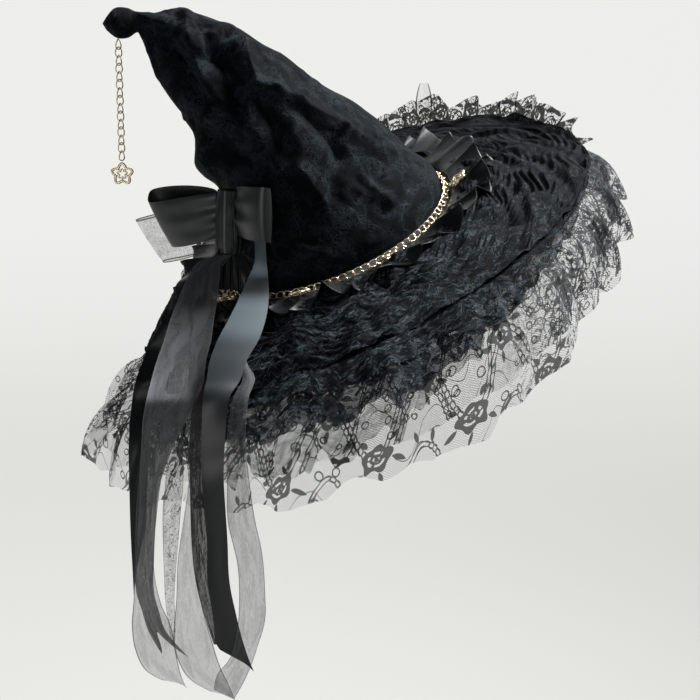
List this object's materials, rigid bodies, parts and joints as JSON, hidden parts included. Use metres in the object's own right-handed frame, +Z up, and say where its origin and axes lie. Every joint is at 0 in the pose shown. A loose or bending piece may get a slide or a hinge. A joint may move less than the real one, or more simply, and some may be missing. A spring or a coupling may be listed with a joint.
{
  "type": "wide-brim hat",
  "caption": "Pointed wide-brim hat with a bent crushed velvet crown, gathered lace brim and flounce, ribbon bow with long tails, and gold chains with stars.",
  "frame": {"origin": "centre of the head opening, in the plane where the crown meets the brim", "axes": "+Z is up, against gravity, with the hat tilted as it is worn; +X is towards the hat's front, which is raised; -Y is its near side in the picture"},
  "size_m": [0.4775, 0.5534, 0.532],
  "materials": {
    "crushed_velvet": "crushed pile, mottled sheen",
    "black_lace": "matt net and lace",
    "black_satin": "satin",
    "charcoal_organza": "sheer, slight sheen",
    "pale_gold": "polished pale gold plate"
  },
  "bodies": {
    "root": {"crown": "crushed_velvet", "brim": "crushed_velvet", "brim_ruching": "black_lace", "lace_flounce": "black_lace", "ribbon_frill": "black_satin", "crown_chain": "pale_gold", "crown_star_1": "pale_gold", "crown_star_2": "pale_gold", "crown_star_3": "pale_gold", "crown_star_4": "pale_gold", "crown_star_5": "pale_gold", "crown_star_6": "pale_gold", "tip_chain": "pale_gold", "tip_star": "pale_gold", "bow_knot": "charcoal_organza", "satin_loop_left": "black_satin", "satin_loop_right": "black_satin", "organza_loop_left": "charcoal_organza", "organza_band": "charcoal_organza", "organza_tail_narrow": "charcoal_organza", "organza_tail_left": "charcoal_organza", "organza_tail_middle": "charcoal_organza", "organza_tail_dark": "charcoal_organza", "organza_tail_right": "charcoal_organza", "satin_tail_left": "black_satin", "satin_tail_right": "black_satin"}
  },
  "joints": []
}
